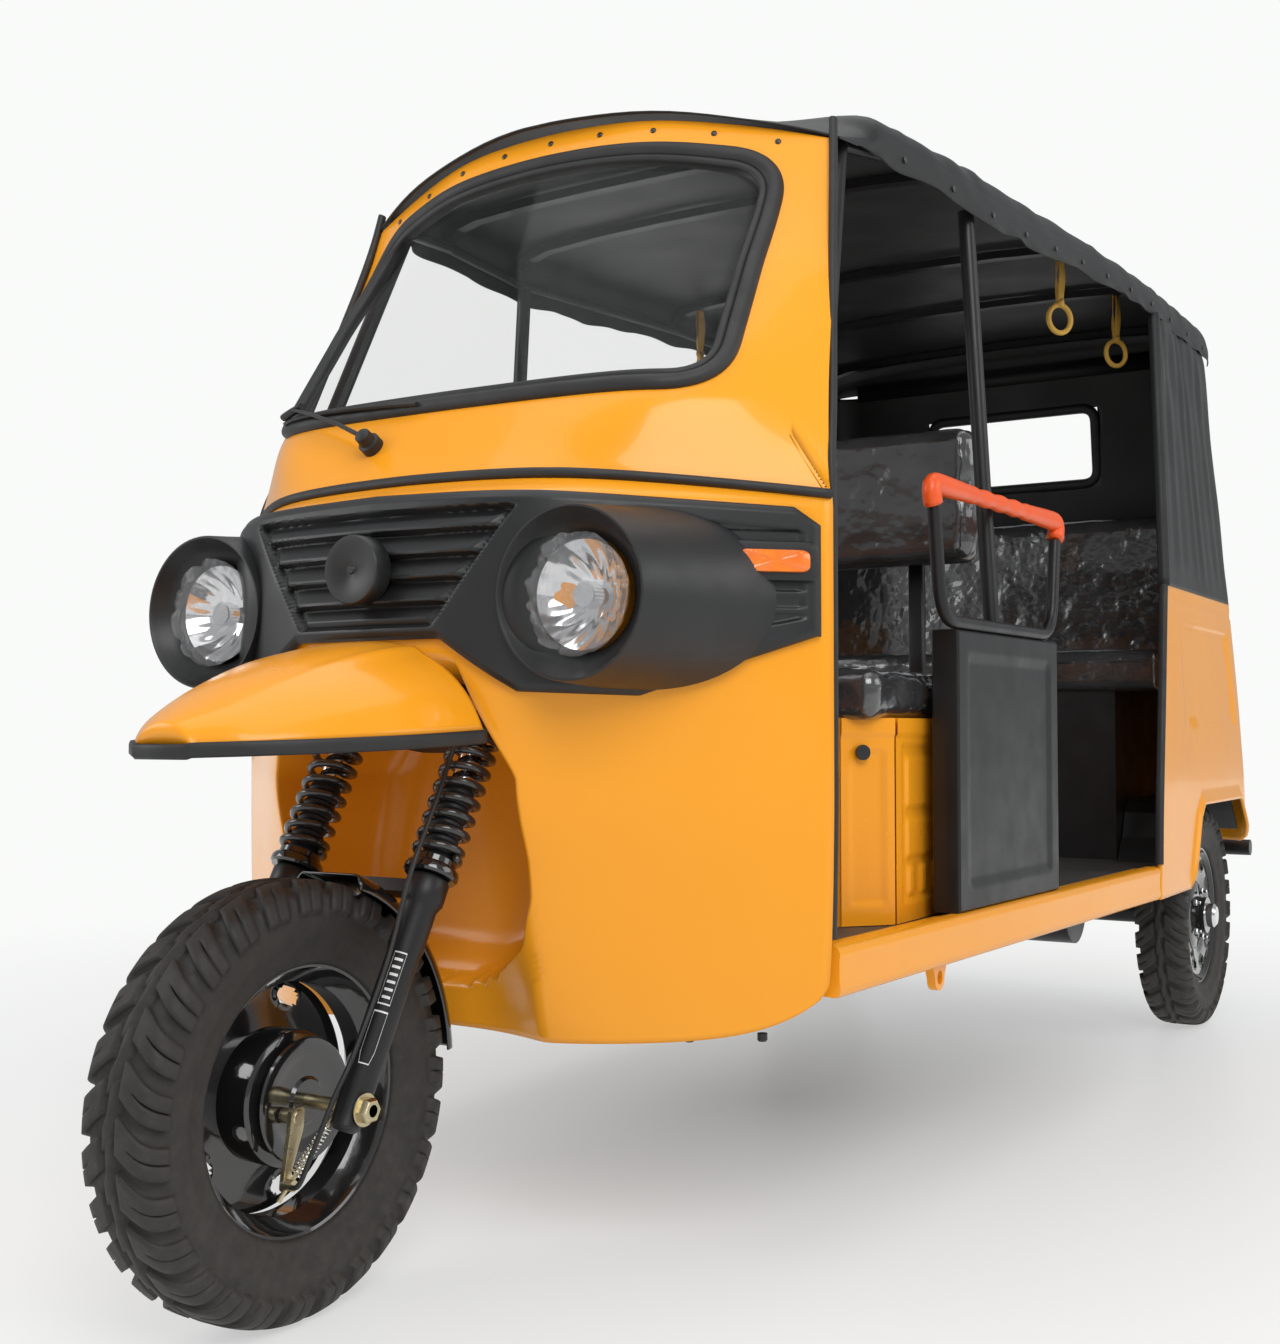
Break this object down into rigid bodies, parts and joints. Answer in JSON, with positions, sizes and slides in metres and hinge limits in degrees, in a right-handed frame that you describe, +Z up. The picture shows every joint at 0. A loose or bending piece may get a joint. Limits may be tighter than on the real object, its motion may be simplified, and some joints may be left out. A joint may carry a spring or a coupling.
{
  "type": "electric rickshaw",
  "caption": "Electric passenger rickshaw on three wheels, with a sprung steering fork, open sides, two seats and a canvas roof.",
  "frame": {"origin": "on the ground, in the middle of the overall box", "axes": "+X to the vehicle's left, -Y forwards, +Z up"},
  "size_m": [1.2, 3.3559, 1.812],
  "materials": {
    "yellow_paint": "gloss",
    "black_paint": "satin",
    "rim_paint": "gloss",
    "floor_metal": "matte",
    "black_plastic": "matte",
    "battery_plastic": "matte",
    "orange_plastic": "satin",
    "rubber": "matte",
    "tyre": "matte",
    "glass": "gloss",
    "lamp_clear": "gloss",
    "lamp_amber": "gloss",
    "lamp_red": "gloss",
    "vinyl": "satin",
    "canvas": "matte",
    "webbing": "matte",
    "spring_steel": "satin",
    "gold_steel": "satin"
  },
  "bodies": {
    "root": {"cowl": "yellow_paint", "windscreen_frame": "yellow_paint", "windscreen_gasket": "rubber", "windscreen_glass": "glass", "belt_strip": "rubber", "front_fascia": "black_plastic", "headlamps": "lamp_clear", "indicators": "lamp_amber", "beak": "yellow_paint", "beak_trim": "rubber", "wiper": "black_plastic", "chassis_frame": "black_paint", "floor_pan": "floor_metal", "sills": "yellow_paint", "door_posts": "black_paint", "divider_panels": "black_paint", "grab_hoops": "black_paint", "grab_grips": "orange_plastic", "seat_box": "yellow_paint", "battery_pack": "battery_plastic", "driver_cushion": "vinyl", "driver_backrest": "vinyl", "bench_base": "black_paint", "bench_cushion": "vinyl", "bench_backrest": "vinyl", "rear_body": "yellow_paint", "wheel_housings": "black_paint", "tail_lamps": "lamp_red", "rear_bumper": "black_paint", "roof_frame": "black_paint", "roof_canvas": "canvas", "rear_canvas": "canvas", "hand_straps": "webbing", "rear_axle": "black_paint", "rear_springs": "spring_steel"},
    "steering": {"fork": "black_paint", "fork_springs": "spring_steel", "handlebar": "black_paint", "front_mudguard": "black_plastic", "brake_rod": "gold_steel", "brake_cable": "rubber"},
    "front_wheel": {"front_tyre": "tyre", "front_rim": "rim_paint"},
    "rear_wheel_left": {"left_tyre": "tyre", "left_rim": "rim_paint"},
    "rear_wheel_right": {"right_tyre": "tyre", "right_rim": "rim_paint"}
  },
  "joints": [
    {"name": "steering", "type": "hinge", "parent": "root", "child": "steering", "pos_m": [0, -1.35698, 0.273], "axis": [0, 0.4848, 0.8746], "range_deg": [-35, 35]},
    {"name": "front_wheel_spin", "type": "hinge", "parent": "steering", "child": "front_wheel", "pos_m": [0, -1.405, 0.273], "axis": [1, 0, 0], "continuous": true},
    {"name": "rear_left_spin", "type": "hinge", "parent": "root", "child": "rear_wheel_left", "pos_m": [0.504, 1.262, 0.273], "axis": [1, 0, 0], "continuous": true},
    {"name": "rear_right_spin", "type": "hinge", "parent": "root", "child": "rear_wheel_right", "pos_m": [-0.504, 1.262, 0.273], "axis": [1, 0, 0], "continuous": true}
  ]
}
